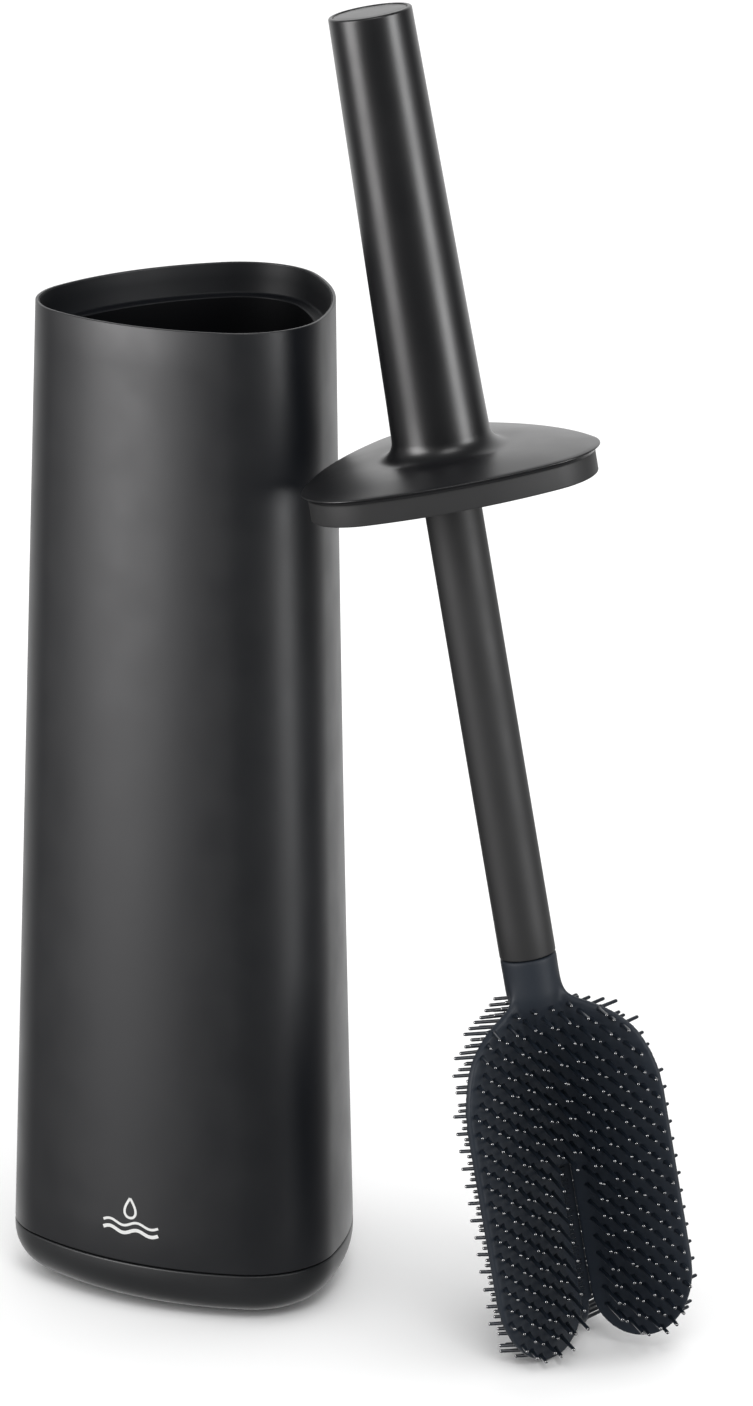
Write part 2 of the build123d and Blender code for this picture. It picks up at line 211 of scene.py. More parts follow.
def softened(points, radii, steps=4, closed=True):
    """A line through points with its corners rounded by the given radii."""
    path = []
    count = len(points)
    for index, (point, radius) in enumerate(zip(points, radii)):
        here = Vector(point)
        at_end = not closed and index in (0, count - 1)
        if radius == 0 or at_end:
            path.append(here)
            continue
        before = (Vector(points[index - 1]) - here).normalized()
        after = (Vector(points[(index + 1) % count]) - here).normalized()
        half = before.angle(after) / 2
        back = radius / math.tan(half)
        centre = here + (before + after).normalized() * (radius / math.sin(half))
        first = here + before * back - centre
        last = here + after * back - centre
        for step in range(steps + 1):
            share = step / steps
            sweep = first.angle(last)
            arm = (first * math.sin((1 - share) * sweep) + last * math.sin(share * sweep))
            path.append(centre + arm / math.sin(sweep))
    return path


def split_long(path, longest, closed=True):
    """The same line with extra points wherever two are far apart."""
    result = []
    ends = path[1:] + path[:1] if closed else path[1:]
    for start, end in zip(path, ends):
        pieces = max(1, math.ceil((end - start).length / longest))
        result += [start.lerp(end, step / pieces) for step in range(pieces)]
    if not closed:
        result.append(path[-1])
    return result


# ---- mesh helpers ----

def add_object(name, mesh):
    piece = bpy.data.objects.new(name, mesh)
    bpy.context.scene.collection.objects.link(piece)
    return piece


def smooth(mesh):
    for polygon in mesh.polygons:
        polygon.use_smooth = True


def loft(name, rings, closed=False, place=Matrix.Identity(4)):
    """A surface through rings of points, closed on itself or capped."""
    verts = []
    for ring in rings:
        verts += [point * MM for point in ring]
    faces = []
    count = len(rings)
    spans = count if closed else count - 1
    for row in range(spans):
        low, high = row * STEPS, ((row + 1) % count) * STEPS
        for step in range(STEPS):
            after = (step + 1) % STEPS
            faces.append((low + step, low + after, high + after, high + step))
    if not closed:
        for row, flip in ((0, True), (count - 1, False)):
            middle = len(verts)
            verts.append(sum(rings[row], Vector()) / STEPS * MM)
            for step in range(STEPS):
                pair = (row * STEPS + step, row * STEPS + (step + 1) % STEPS)
                faces.append((*reversed(pair), middle) if flip else (*pair, middle))
    mesh = bpy.data.meshes.new(name)
    mesh.from_pydata(verts, [], faces)
    mesh.transform(place)
    tidy = bmesh.new()
    tidy.from_mesh(mesh)
    bmesh.ops.recalc_face_normals(tidy, faces=tidy.faces)
    tidy.to_mesh(mesh)
    tidy.free()
    smooth(mesh)
    return add_object(name, mesh)


def brush_matrix():
    along = Vector((
        -math.sin(LEAN_LEFT) * math.cos(LEAN_BACK),
        math.sin(LEAN_BACK),
        math.cos(LEAN_LEFT) * math.cos(LEAN_BACK),
    ))
    right = Vector((0, 1, 0)).cross(along).normalized()
    back = along.cross(right)
    turn = Matrix((right, back, along)).transposed().to_4x4()
    return Matrix.Translation(BRUSH_FOOT) @ turn


BRUSH = brush_matrix()


# ---- materials ----

def new_material(name):
    material = bpy.data.materials.new(name)
    material.use_nodes = True
    nodes = material.node_tree.nodes
    return material, nodes, material.node_tree.links, nodes["Principled BSDF"]


def noise(nodes, links, coordinates, scale, detail=4.0, roughness=0.5):
    texture = nodes.new("ShaderNodeTexNoise")
    texture.inputs["Scale"].default_value = scale
    texture.inputs["Detail"].default_value = detail
    texture.inputs["Roughness"].default_value = roughness
    links.new(coordinates, texture.inputs["Vector"])
    return texture.outputs["Fac"]


def between(nodes, links, value, low, high):
    """A factor from 0 to 1 spread between two numbers."""
    spread = nodes.new("ShaderNodeMapRange")
    spread.inputs["From Min"].default_value = 0.3
    spread.inputs["From Max"].default_value = 0.7
    spread.inputs["To Min"].default_value = low
    spread.inputs["To Max"].default_value = high
    links.new(value, spread.inputs["Value"])
    return spread.outputs["Result"]


def moulded(name, dark, light, rough, grain, depth, specular=0.5):
    """Moulded plastic or rubber: fine grain, with a slightly cloudy colour and sheen."""
    material, nodes, links, shader = new_material(name)
    place = nodes.new("ShaderNodeTexCoord").outputs["Object"]
    cloud = noise(nodes, links, place, 28.0)
    mix = nodes.new("ShaderNodeMix")
    mix.data_type = "RGBA"
    mix.inputs["A"].default_value = (*dark, 1)
    mix.inputs["B"].default_value = (*light, 1)
    links.new(between(nodes, links, cloud, 0.0, 1.0), mix.inputs["Factor"])
    links.new(mix.outputs["Result"], shader.inputs["Base Color"])
    patches = noise(nodes, links, place, 70.0, 3.0)
    links.new(between(nodes, links, patches, *rough), shader.inputs["Roughness"])
    fine = noise(nodes, links, place, grain, 2.0, 0.6)
    bump = nodes.new("ShaderNodeBump")
    bump.inputs["Strength"].default_value = 1.0
    bump.inputs["Distance"].default_value = depth * MM
    links.new(fine, bump.inputs["Height"])
    links.new(bump.outputs["Normal"], shader.inputs["Normal"])
    shader.inputs["Specular IOR Level"].default_value = specular
    return material


def paint(piece, *materials):
    if piece.data.materials:
        piece.data.materials.clear()
    for material in materials:
        piece.data.materials.append(material)


# ---- pieces ----

def make_sleeve():
    points = [(0, SLEEVE_LOW), (0, RIM_Z), (LIP_WALL, RIM_Z), (LIP_WALL, LIP_Z),
              (SLEEVE_WALL, LIP_Z), (SLEEVE_WALL, SLEEVE_LOW)]
    radii = [0.5, 0.35, 0.35, 0, 0, 0.5]
    path = split_long(softened(points, radii), 12.0)
    piece = loft("sleeve_wall", [holder_ring(*point) for point in path], closed=True)
    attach(piece, "sleeve")
    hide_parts("outer_sleeve")
    return piece


def make_collar():
    inner = MOUTH_INSET
    points = [(LIP_WALL + 0.1, LIP_Z), (LIP_WALL + 0.1, COLLAR_TOP), (LIP_WALL + 0.3, COLLAR_TOP),
              (FUNNEL_INSET, LEDGE_Z), (inner, LEDGE_Z), (inner, COLLAR_LOW),
              (inner - 1.8, COLLAR_LOW), (inner - 1.8, LIP_Z)]
    radii = [0, 0, 0.1, 0.8, 0.4, 0.4, 0.4, 0]
    path = split_long(softened(points, radii), 8.0)
    piece = loft("mouth_funnel", [holder_ring(*point) for point in path], closed=True)
    # Faces below the ledge, down in the hole, take the second material: painted shade, a darker and duller
    # copy of the plastic for the deep inside of the mouth.
    for polygon in piece.data.polygons:
        if polygon.center.z < (LEDGE_Z - 0.9) * MM:
            polygon.material_index = 1
    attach(piece, "sleeve")
    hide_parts("mouth_collar")
    return piece


def make_base():
    spigot = SLEEVE_WALL + 0.5
    inside = spigot + SPIGOT_WALL
    floor_z = BASE_LOW + BASE_FLOOR
    points = [(17.0, BASE_LOW), (0, BASE_LOW), (0, SEAM_Z), (spigot - 1.0, SEAM_Z)]
    radii = [0, BASE_EDGE_RADIUS, 0.5, 0]
    outer = split_long(softened(points, radii, 14, closed=False), 6.0, closed=False)
    rings = [base_ring(*point) for point in outer]
    top = [(spigot - 1.0, SEAM_Z), (spigot, SEAM_Z), (spigot, SPIGOT_TOP), (inside, SPIGOT_TOP),
           (inside, floor_z), (inside + 12, floor_z)]
    upper = softened(top, [0, 0.4, 0.6, 0.6, TRAY_EDGE_RADIUS, 0], 8, closed=False)[1:]
    rings += [holder_ring(*point) for point in split_long(upper, 6.0, closed=False)]
    piece = loft("base_tray", rings)
    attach(piece, "base")
    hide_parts("base_pan")
    return piece


def make_cup():
    low, high = (corner.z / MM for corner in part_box("drip_cup"))
    floor_z = low + CUP_FLOOR
    rim_z = high - CUP_RIM_HEIGHT
    points = [(14.0, low), (0, low), (0, rim_z), (-CUP_RIM, rim_z), (-CUP_RIM, high),
              (CUP_WALL, high), (CUP_WALL, floor_z), (14.0, floor_z)]
    radii = [0, CUP_EDGE_RADIUS, 0.3, 0.4, 0.6, 0.6, CUP_EDGE_RADIUS - CUP_WALL, 0]
    path = split_long(softened(points, radii, 8, closed=False), 8.0, closed=False)
    rings = []
    for inset, z in path:
        shape = inset_shape(CUP_SHAPE, inset)
        rings.append([ring_point(reach(shape, angle), angle, z) for angle in angles()])
    piece = loft("loose_cup", rings)
    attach(piece, "cup")
    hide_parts("drip_cup")
    return piece


def lid_hollow(first, last):
    """Rings of the hollow under the lid's sharp edge, between two turns of its arc."""
    rings = []
    for step in range(9):
        turn = first + (last - first) * step / 8
        rings.append(lid_ring(SKIRT_INSET * math.sin(turn), HOLLOW_Z + SKIRT_INSET * math.cos(turn)))
    return rings


def make_handle():
    top = BRUSH_LENGTH - 0.01
    slope = (HANDLE_LOW_RADIUS - HANDLE_TOP_RADIUS) / (top - LID_TOP)
    root_z = LID_TOP + HANDLE_FILLET
    edge = 0.7
    recess = CAP_RADIUS + 0.05
    low_rings = [lid_ring(9.0, LID_UNDER), *lid_hollow(HOLLOW_START, 0.12)]
    dome_z = LID_EDGE + 0.28
    low_rings += [lid_ring(0.0, LID_EDGE - 0.12), lid_ring(0.08, LID_EDGE + 0.12), lid_ring(0.35, dome_z)]
    outer = lid_ring(0.35, 0)
    foot = HANDLE_LOW_RADIUS + HANDLE_FILLET
    inner = round_ring(foot, 0)
    dome = []
    for step in range(1, 15):
        share = step / 14
        z = dome_z + (LID_TOP - LID_EDGE - 0.28) * math.sin(share * math.pi / 2)
        dome.append(mixed_ring(outer, inner, share, z))
    fillet = []
    for step in range(1, 11):
        turn = step / 10 * math.pi / 2
        radius = foot - HANDLE_FILLET * math.sin(turn)
        fillet.append(round_ring(radius, root_z - HANDLE_FILLET * math.cos(turn)))
    body = []
    for step in range(1, 13):
        z = root_z + (top - edge - root_z) * step / 12
        body.append(round_ring(HANDLE_LOW_RADIUS - slope * (z - LID_TOP), z))
    radius = body[-1][0].x
    for step in range(1, 9):
        turn = step / 8 * math.pi / 2
        body.append(round_ring(radius - edge + edge * math.cos(turn), top - edge + edge * math.sin(turn)))
    end = [round_ring(recess + 0.15, top), round_ring(recess, top - 0.15), round_ring(recess, top - 2.6)]
    piece = loft("handle_with_lid", low_rings + dome + fillet + body + end, place=BRUSH)
    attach(piece, "brush")
    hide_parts("handle_grip")
    return piece


def make_end_cap():
    top = BRUSH_LENGTH - 0.25
    radius = CAP_RADIUS - 0.1
    path = [(radius, top - 2.3), (radius, top - 0.35), (radius - 0.1, top - 0.1),
            (radius - 0.35, top), (7.0, top + 0.03), (3.0, top + 0.05)]
    piece = loft("handle_end_disc", [round_ring(*point) for point in path], place=BRUSH)
    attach(piece, "brush")
    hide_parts("end_cap")
    return piece


def make_skirt():
    rings = lid_hollow(math.pi / 2, HOLLOW_START + 0.01)[::-1]
    low = softened([(SKIRT_INSET, HOLLOW_Z), (SKIRT_INSET, SKIRT_LOW), (SKIRT_INSET + 1.8, SKIRT_LOW),
                    (SKIRT_INSET + 1.8, LID_UNDER - 1), (SKIRT_INSET + 8, LID_UNDER - 1)],
                   [0, 0.5, 0.5, 0.8, 0], closed=False)[1:]
    rings += [lid_ring(*point) for point in split_long(low, 4.0, closed=False)]
    piece = loft("lid_underside", rings, place=BRUSH)
    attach(piece, "brush")
    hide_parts("lid_skirt")
    return piece


def make_shaft():
    top = LID_UNDER - 0.5
    points = [(5.0, SHAFT_LOW), (SHAFT_RADIUS, SHAFT_LOW), (SHAFT_RADIUS, top), (5.0, top)]
    path = split_long(softened(points, [0, 0.35, 0, 0], closed=False), 10.0, closed=False)
    piece = loft("shaft_sleeve", [round_ring(*point) for point in path], place=BRUSH)
    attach(piece, "brush")
    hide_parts("shaft_tube")
    return piece


# ---- the rubber head ----

def smooth_line(points, steps=8):
    """A flowing line through points (Catmull-Rom)."""
    padded = [2 * points[0] - points[1], *points, 2 * points[-1] - points[-2]]
    line = []
    for before, start, end, after in zip(padded, padded[1:], padded[2:], padded[3:]):
        for step in range(steps):
            t = step / steps
            line.append(
                0.5 * (2 * start + (end - before) * t
                       + (2 * before - 5 * start + 4 * end - after) * t ** 2
                       + (3 * start - before - 3 * end + after) * t ** 3)
            )
    return line + [points[-1]]


SHOULDER = smooth_line([Vector(point) for point in (
    (8.6, 115.5), (9.4, 111.6), (11.6, 109.2), (16.2, 106.8), (21.0, 104.4), (25.6, 101.2),
    (29.6, 96.8), (32.6, 90.6), (34.4, 84.0), (FIN_REACH, FIN_SHOULDER),
)])


def arc(centre, radii, start, end, steps):
    """Points on a quarter of an ellipse, angles in degrees."""
    points = []
    for step in range(1, steps + 1):
        turn = math.radians(start + (end - start) * step / steps)
        points.append(Vector((
            centre[0] + radii[0] * math.cos(turn), centre[1] + radii[1] * math.sin(turn),
        )))
    return points


def fin_profile(inner):
    """One fin seen from its side, as (distance from the axis, height) points."""
    line = [Vector((3.0, SHOULDER[0].y))] + SHOULDER
    line.append(Vector((FIN_REACH, FIN_LOW_CORNER)))
    line += arc((FIN_LOWEST, FIN_LOW_CORNER), (FIN_REACH - FIN_LOWEST, FIN_LOW_CORNER), 0, -90, 16)
    line += arc((FIN_LOWEST, FIN_INNER_CORNER), (FIN_LOWEST - inner, FIN_INNER_CORNER), -90, -180, 14)
    line.append(Vector((inner, SLIT_TOP)))
    line.append(Vector((3.0, SLIT_TOP + 2)))
    return line


def extruded(name, outline, low, high, place):
    """A closed prism from a flat outline."""
    shape = bmesh.new()
    face = shape.faces.new([shape.verts.new((point.x, point.y, low)) for point in outline])
    raised = bmesh.ops.extrude_face_region(shape, geom=[face])
    moved = [item for item in raised["geom"] if isinstance(item, bmesh.types.BMVert)]
    bmesh.ops.translate(shape, verts=moved, vec=(0, 0, high - low))
    bmesh.ops.recalc_face_normals(shape, faces=shape.faces)
    mesh = bpy.data.meshes.new(name)
    shape.to_mesh(mesh)
    shape.free()
    mesh.transform(place)
    return add_object(name, mesh)


def web_reach(angle):
    """How far the hollow between two fins lies from the axis at an angle."""
    half = FIN_THICKNESS / 2
    third = math.pi / SIDES
    out = (WEB_RADIUS + half) / math.sin(third)
    off = abs((angle - math.radians(FIN_TURN)) % (2 * third) - third)
    touch = third - math.atan2(half, out * math.cos(third))
    if off < touch:
        return out * math.cos(off) - math.sqrt(WEB_RADIUS ** 2 - (out * math.sin(off)) ** 2)
    return min(WEB_REACH, half / max(math.sin(third - off), 0.01))


def core_rise(z):
    """How much the head's thick middle has become neck at a height, from 0 to 1."""
    share = min(1.0, max(0.0, (z - CORE_NARROWS) / (CORE_TOP - CORE_NARROWS)))
    return share * share * (3 - 2 * share)


def core_ring(z):
    """A ring of the head's thick middle, which rounds off into the neck at its top."""
    rise = core_rise(z)
    ring = []
    for angle in angles():
        reach_here = web_reach(angle)
        radius = reach_here + (SHAFT_RADIUS - reach_here) * rise
        ring.append(ring_point(radius, angle, z))
    return ring


def joined(name, objects):
    """One object holding the meshes of several."""
    whole = bmesh.new()
    for part in objects:
        whole.from_mesh(part.data)
    mesh = bpy.data.meshes.new(name)
    whole.to_mesh(mesh)
    whole.free()
    for part in objects:
        bpy.data.objects.remove(part)
    return add_object(name, mesh)


def apply_modifiers(piece):
    depsgraph = bpy.context.evaluated_depsgraph_get()
    mesh = bpy.data.meshes.new_from_object(piece.evaluated_get(depsgraph))
    piece.modifiers.clear()
    piece.data = mesh


def make_head():
    parts = []
    half = FIN_THICKNESS / 2
    for index, inner in enumerate((SLIT_HALF_WIDTH, SLIT_HALF_WIDTH, BACK_FIN_START)):
        turn = math.radians(FIN_TURN) + index * 2 * math.pi / SIDES
        stand = Matrix.Rotation(turn, 4, "Z") @ Matrix.Rotation(math.pi / 2, 4, "X")
        parts.append(extruded(f"fin_{index}", fin_profile(inner), -half, half, stand))
    inner, outer, side, low = BACK_RIB
    rib = [Vector(point) for point in ((inner, -side), (outer, -side), (outer, side), (inner, side))]
    stand = Matrix.Rotation(math.radians(FIN_TURN - 120), 4, "Z")
    parts.append(extruded("rib", rib, low, SLIT_TOP + 1, stand))
    heights = [SLIT_TOP + (CORE_TOP - SLIT_TOP) * step / 40 for step in range(41)]
    core = loft("core", [core_ring(z) for z in heights])
    neck_heights = (NECK_LOW, NECK_LOW + 6, SHAFT_LOW - 0.3)
    neck = loft("neck", [round_ring(SHAFT_RADIUS, z) for z in neck_heights])
    for part in (core, neck):
        part.data.transform(Matrix.Scale(1 / MM, 4))
        parts.append(part)
    piece = joined("rubber_head", parts)
    union = piece.modifiers.new("union", "REMESH")
    union.mode = "VOXEL"
    union.voxel_size = 0.42
    soften = piece.modifiers.new("soften", "SMOOTH")
    soften.factor = 0.5
    soften.iterations = 8
    melt = piece.modifiers.new("melt", "LAPLACIANSMOOTH")
    melt.iterations = 4
    melt.lambda_factor = 0.4
    apply_modifiers(piece)
    shoulder = piece.vertex_groups.new(name="shoulder")
    for vertex in piece.data.vertices:
        near = min(1.0, max(0.0, (17.0 - vertex.co.xy.length) / 6.0))
        level = min(1.0, max(0.0, (vertex.co.z - 84.0) / 8.0), max(0.0, (121.0 - vertex.co.z) / 3.0))
        shoulder.add([vertex.index], near * level, "REPLACE")
    flow = piece.modifiers.new("flow", "SMOOTH")
    flow.vertex_group = "shoulder"
    flow.factor = 0.5
    flow.iterations = 60
    apply_modifiers(piece)
    piece.data.transform(BRUSH @ Matrix.Scale(MM, 4))
    smooth(piece.data)
    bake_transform(piece)
    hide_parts("neck_collar", "head_core", "fin_left", "fin_right", "fin_back")
    return piece


# ---- bristles ----

def fin_reach_at(z):
    if z < FIN_LOW_CORNER:
        low = (FIN_LOW_CORNER - z) / FIN_LOW_CORNER
        return FIN_LOWEST + (FIN_REACH - FIN_LOWEST) * math.sqrt(max(0.0, 1 - low ** 2))
    if z < FIN_SHOULDER:
        return FIN_REACH
    for low, high in zip(SHOULDER, SHOULDER[1:]):
        if high.y <= z <= low.y:
            return low.x + (high.x - low.x) * (low.y - z) / (low.y - high.y)
    return 0.0


def fin_start_at(z, inner):
    if z > SLIT_TOP + 1:
        return -1.0
    if z > FIN_INNER_CORNER:
        return inner
    low = (FIN_INNER_CORNER - z) / FIN_INNER_CORNER
    return FIN_LOWEST - (FIN_LOWEST - inner) * math.sqrt(max(0.0, 1 - low ** 2))


def face_height(across, z):
    """Height of the rubber above the axis along a face's normal."""
    half = FIN_THICKNESS / 2
    third = math.pi / SIDES
    out = (WEB_RADIUS + half) / math.sin(third)
    touch = out * math.cos(third) * math.sin(third)
    height = across / math.tan(third) + half / math.sin(third)
    if across < touch and z > SLIT_TOP:
        height = out - math.sqrt(WEB_RADIUS ** 2 - across ** 2)
    return height + max(0.0, SHAFT_RADIUS - height) * core_rise(z) * 0.9


def bristle_rows(short, starts, longest):
    """(across, height, root, tip) of every bristle of one kind on one face."""
    shift = PITCH / 2 if short else 0.0
    found = []
    for row in range(BRISTLE_ROWS):
        z = PITCH * (row + 1) - shift
        for column in range(-7, 7):
            across = column * PITCH + shift
            along_fin = abs(across) / math.sin(math.pi / SIDES)
            if along_fin > fin_reach_at(z) - 1.7 or z > BRISTLE_TOP:
                continue
            if along_fin < fin_start_at(z, starts[across > 0]) + 1.0:
                continue
            root = face_height(abs(across), z) - 0.4
            share = min(1.0, abs(across) / 27.5)
            tip = longest + 0.5 * share ** 2 - 5.0 * max(0.0, (z - TIPS_DROP) / 13.0) ** 1.5
            if short:
                tip = max(root + 2.2, tip - 6.5 * (1 - share ** 2))
            found.append((across, z, root, tip))
    return found


def peg(shape, start, way, length, radius, sides=8):
    """A bristle with a slightly thicker root and a rounded tip."""
    side = way.orthogonal().normalized()
    other = way.cross(side)
    levels = [(0.0, 1.5), (0.45, 1.12), (1.2, 1.0), (length - radius, 0.94),
              (length - radius * 0.62, 0.88), (length - radius * 0.3, 0.68), (length - radius * 0.08, 0.36)]
    rings = []
    for height, size in levels:
        ring = []
        for step in range(sides):
            turn = 2 * math.pi * step / sides
            arm = (side * math.cos(turn) + other * math.sin(turn)) * radius * size
            ring.append(shape.verts.new(start + way * height + arm))
        rings.append(ring)
    for low, high in zip(rings, rings[1:]):
        for step in range(sides):
            after = (step + 1) % sides
            face = shape.faces.new((low[step], low[after], high[after], high[step]))
            face.material_index = 1 if low in rings[3:] else 0
    tip = shape.verts.new(start + way * length)
    foot = shape.verts.new(start)
    for step in range(sides):
        after = (step + 1) % sides
        shape.faces.new((rings[-1][step], rings[-1][after], tip)).material_index = 1
        shape.faces.new((rings[0][after], rings[0][step], foot))


def make_bristles(index, side, starts, longest):
    chance = random.Random(40 + index)
    shape = bmesh.new()
    turn = math.radians(FIN_TURN) + (index + 0.5) * 2 * math.pi / SIDES
    outward = Vector((math.cos(turn), math.sin(turn), 0))
    sideways = Vector((-math.sin(turn), math.cos(turn), 0))
    up = Vector((0, 0, 1))
    for short in (False, True):
        for across, z, root, tip in bristle_rows(short, starts, longest):
            start = outward * root + sideways * across + up * z
            way = outward + sideways * chance.gauss(0, 0.014) + up * chance.gauss(0, 0.014)
            length = tip - root + chance.uniform(-0.2, 0.2)
            peg(shape, start, way.normalized(), length, BRISTLE_RADIUS)
    if side == "front":
        for row in range(COMB_PEGS):
            start = outward * -0.2 - sideways * 2.0 + up * (COMB_LOW + row * COMB_PITCH)
            peg(shape, start, (sideways + up * 0.15).normalized(), chance.uniform(2.2, 2.9), 0.3)
    bmesh.ops.recalc_face_normals(shape, faces=shape.faces)
    mesh = bpy.data.meshes.new(f"bristle_field_{side}")
    shape.to_mesh(mesh)
    shape.free()
    mesh.transform(BRUSH @ Matrix.Scale(MM, 4))
    smooth(mesh)
    piece = add_object(f"bristle_field_{side}", mesh)
    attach(piece, "head")
    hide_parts(f"bristles_{side}")
    return piece


# ---- the printed mark ----

def on_sleeve(across, up, proud):
    """A point near the sleeve's surface, from the middle of the mark."""
    angle = MARK_ANGLE + across / MARK_REACH
    return holder_point(-proud, angle, MARK_Z + up)


def strip(shape, line, width):
    """A flat printed stroke along a line of (across, up) points."""
    edges = []
    for index, point in enumerate(line):
        before = line[max(index - 1, 0)]
        after = line[min(index + 1, len(line) - 1)]
        way = (after - before).normalized()
        across = Vector((-way.y, way.x)) * width / 2
        pair = []
        for place in (point - across, point + across):
            pair.append(shape.verts.new(on_sleeve(place.x, place.y, 0.05) * MM))
        edges.append(pair)
    for low, high in zip(edges, edges[1:]):
        shape.faces.new((low[0], high[0], high[1], low[1]))


def make_mark():
    """A plain drop over two ripples, printed on the sleeve."""
    shape = bmesh.new()
    drop = []
    for step in range(49):
        turn = 2 * math.pi * step / 48
        narrow = 0.5 * (1 - math.cos(turn))
        drop.append(Vector((2.6 * math.sin(turn) * narrow ** 0.6, 2.6 + 3.2 * math.cos(turn))))
    strip(shape, drop, 0.8)
    for row in range(2):
        ripple = []
        for step in range(41):
            share = step / 40
            ripple.append(Vector((
                (share - 0.5) * 19.0, -2.6 - row * 2.4 + 0.7 * math.sin(share * 4 * math.pi),
            )))
        strip(shape, ripple, 0.8 if row == 0 else 1.1)
    mesh = bpy.data.meshes.new("printed_mark")
    shape.to_mesh(mesh)
    shape.free()
    piece = add_object("printed_mark", mesh)
    solid = piece.modifiers.new("ink", "SOLIDIFY")
    solid.thickness = 0.03 * MM
    solid.offset = 0.0
    apply_modifiers(piece)
    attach(piece, "sleeve")
    return piece


# ---- stage, in metres ----

def make_floor():
    mesh = bpy.data.meshes.new("floor")
    size = 8.0
    corners = [(-size, -size, 0), (size, -size, 0), (size, size, 0), (-size, size, 0)]
    mesh.from_pydata(corners, [], [(0, 1, 2, 3)])
    floor = add_object("floor", mesh)
    floor.visible_glossy = False
    material, _, _, shader = new_material("floor_paint")
    shader.inputs["Base Color"].default_value = (0.97, 0.97, 0.97, 1)
    shader.inputs["Roughness"].default_value = 0.9
    shader.inputs["Specular IOR Level"].default_value = 0.0
    paint(floor, material)


def make_camera():
    data = bpy.data.cameras.new("camera")
    data.sensor_width = 36.0
    data.lens = 174.94
    data.dof.use_dof = False
    camera = bpy.data.objects.new("camera", data)
    bpy.context.scene.collection.objects.link(camera)
    camera.location = (0.0, -1.99384, 0.79570)
    pitch = math.radians(17.096)
    yaw = math.radians(1.573)
    look = Vector((math.sin(yaw) * math.cos(pitch), math.cos(yaw) * math.cos(pitch), -math.sin(pitch)))
    camera.rotation_mode = "QUATERNION"
    camera.rotation_quaternion = look.to_track_quat("-Z", "Y")
    bpy.context.scene.camera = camera


def ranged(nodes, links, value, source, target):
    """A value taken smoothly from one range to another."""
    spread = nodes.new("ShaderNodeMapRange")
    spread.interpolation_type = "SMOOTHSTEP"
    spread.inputs["From Min"].default_value, spread.inputs["From Max"].default_value = source
    spread.inputs["To Min"].default_value, spread.inputs["To Max"].default_value = target
    links.new(value, spread.inputs["Value"])
    return spread.outputs["Result"]


def total(nodes, links, first, second):
    add = nodes.new("ShaderNodeMath")
    add.operation = "ADD"
    links.new(first, add.inputs[0])
    links.new(second, add.inputs[1])
    return add.outputs["Value"]


def soft_box(name, azimuth, distance, height, size, radiance, colour=(1, 1, 1), gloss_only=False):
    """A softbox facing the object, at an angle from the front; positive is to the right."""
    data = bpy.data.lights.new(name, "AREA")
    data.shape = "RECTANGLE"
    data.size, data.size_y = size
    data.energy = radiance * math.pi * size[0] * size[1]
    data.color = colour
    light = bpy.data.objects.new(name, data)
    bpy.context.scene.collection.objects.link(light)
    turn = math.radians(azimuth)
    place = Vector((math.sin(turn) * distance, -math.cos(turn) * distance, height))
    target = Vector((0.03, 0, 0.15))
    light.location = place
    light.rotation_mode = "QUATERNION"
    light.rotation_quaternion = (target - place).to_track_quat("-Z", "Y")
    light.visible_camera = False
    light.visible_diffuse = not gloss_only


def make_lights():
    world = bpy.data.worlds.new("studio")
    bpy.context.scene.world = world
    world.use_nodes = True
    nodes, links = world.node_tree.nodes, world.node_tree.links
    background = nodes["Background"]
    background.inputs["Color"].default_value = (1, 1, 1, 1)
    direction = nodes.new("ShaderNodeTexCoord").outputs["Generated"]
    axes = nodes.new("ShaderNodeSeparateXYZ")
    links.new(direction, axes.inputs["Vector"])
    behind = ranged(nodes, links, axes.outputs["Y"], (0.28, 0.9), (0.018, 1.35))
    below = ranged(nodes, links, axes.outputs["Z"], (-0.18, -0.6), (0.0, 0.3))
    above = ranged(nodes, links, axes.outputs["Z"], (0.05, 0.35), (0.0, 0.12))
    low_room = total(nodes, links, behind, below)
    room = total(nodes, links, low_room, above)
    rays = nodes.new("ShaderNodeLightPath").outputs["Is Glossy Ray"]
    strength = nodes.new("ShaderNodeMix")
    strength.inputs["A"].default_value = 1.16
    links.new(rays, strength.inputs["Factor"])
    links.new(room, strength.inputs["B"])
    links.new(strength.outputs["Result"], background.inputs["Strength"])
    soft_box("left_box", azimuth=-60, distance=1.5, height=0.43, size=(0.82, 1.1), radiance=12.8,
             colour=(1.0, 0.985, 0.985), gloss_only=True)
    soft_box("right_box", azimuth=58, distance=1.5, height=0.43, size=(0.52, 1.1), radiance=12.3,
             gloss_only=True)
    soft_box("top_box", azimuth=12, distance=1.0, height=1.3, size=(0.6, 0.5), radiance=6.0)


# ---- the scene ----

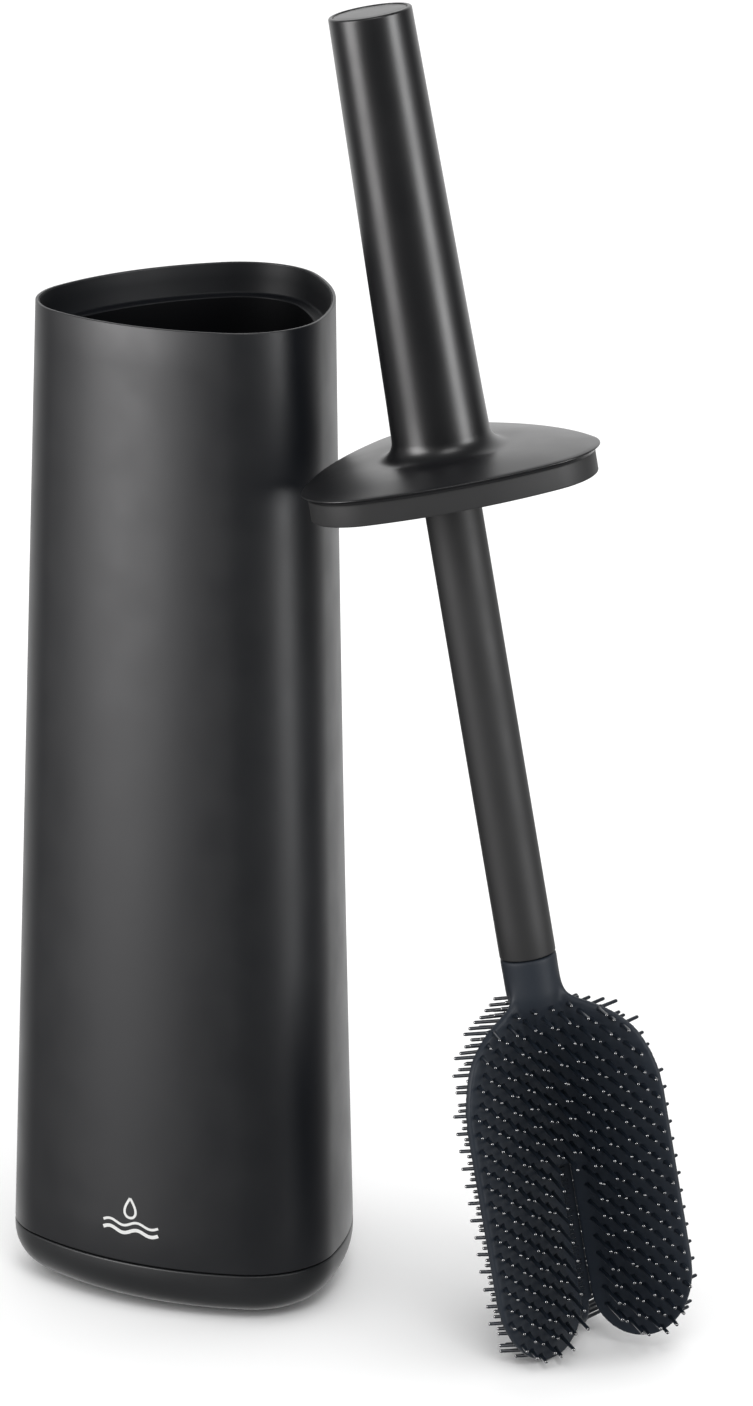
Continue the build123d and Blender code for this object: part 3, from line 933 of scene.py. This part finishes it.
sleeve_black = moulded(
    "sleeve_black", (0.0042, 0.0052, 0.0078), (0.0052, 0.0063, 0.0092), (0.42, 0.47), 1800.0, 0.010,
)
base_black = moulded(
    "base_black", (0.0070, 0.0082, 0.0100), (0.0085, 0.0096, 0.0116), (0.45, 0.50), 1800.0, 0.010,
)
handle_black = moulded(
    "handle_black", (0.0048, 0.0050, 0.0062), (0.0060, 0.0062, 0.0075), (0.34, 0.38), 1800.0, 0.008,
)
shaft_black = moulded(
    "shaft_black", (0.0110, 0.0112, 0.0122), (0.0128, 0.0130, 0.0142), (0.56, 0.62), 1800.0, 0.010,
)
head_black = moulded(
    "head_rubber_black", (0.0128, 0.0182, 0.0275), (0.0165, 0.0230, 0.0335), (0.54, 0.62), 1400.0,
    0.010, 0.24,
)
bristle_black = moulded(
    "bristle_black", (0.0074, 0.0115, 0.0185), (0.0098, 0.0148, 0.0232), (0.34, 0.42), 1400.0, 0.002, 0.35,
)
tip_black = moulded(
    "worn_tip_black", (0.0100, 0.0120, 0.0160), (0.0130, 0.0150, 0.0200), (0.13, 0.17), 1400.0, 0.001, 1.0,
)
tip_black.node_tree.nodes["Principled BSDF"].inputs["IOR"].default_value = 1.85
# Painted shade for the inside of the mouth's hole: the same plastic made darker and duller because the hole
# lies deep in shade.
painted_shade_inside = moulded(
    "painted_shade_inside", (0.0014, 0.0017, 0.0026), (0.0018, 0.0022, 0.0033), (0.62, 0.70), 1800.0, 0.010, 0.08,
)
funnel_black = moulded(
    "funnel_black", (0.0040, 0.0050, 0.0072), (0.0050, 0.0061, 0.0086), (0.50, 0.56), 1800.0, 0.010, 0.22,
)
steel = moulded("rod_steel_finish", (0.5, 0.5, 0.5), (0.6, 0.6, 0.6), (0.25, 0.35), 900.0, 0.005)
rubber = moulded(
    "foot_rubber_finish", (0.015, 0.015, 0.016), (0.020, 0.020, 0.021), (0.6, 0.75), 900.0, 0.02,
)
ink = moulded("pale_ink", (0.62, 0.62, 0.61), (0.68, 0.68, 0.67), (0.5, 0.6), 1800.0, 0.003)

paint(make_sleeve(), sleeve_black)
paint(make_collar(), funnel_black, painted_shade_inside)
paint(make_mark(), ink)
paint(make_base(), base_black)
paint(make_cup(), base_black)
paint(make_handle(), handle_black)
paint(make_end_cap(), handle_black)
paint(make_skirt(), shaft_black)
paint(make_shaft(), shaft_black)
paint(make_head(), head_black)
paint(make_bristles(0, "front", (SLIT_HALF_WIDTH, SLIT_HALF_WIDTH), TIP_REACH), bristle_black, tip_black)
paint(make_bristles(1, "right", (SLIT_HALF_WIDTH, BACK_FIN_START), RIGHT_TIP_REACH), bristle_black, tip_black)
paint(make_bristles(2, "left", (BACK_FIN_START, SLIT_HALF_WIDTH), TIP_REACH), bristle_black, tip_black)

paint(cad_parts["foot_mat"], rubber)
paint(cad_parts["head_spigot"], shaft_black)
paint(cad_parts["core_rod"], steel)
paint(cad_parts["rod_screw"], steel)

make_floor()
make_camera()
make_lights()
bpy.context.scene.view_settings.view_transform = "Standard"
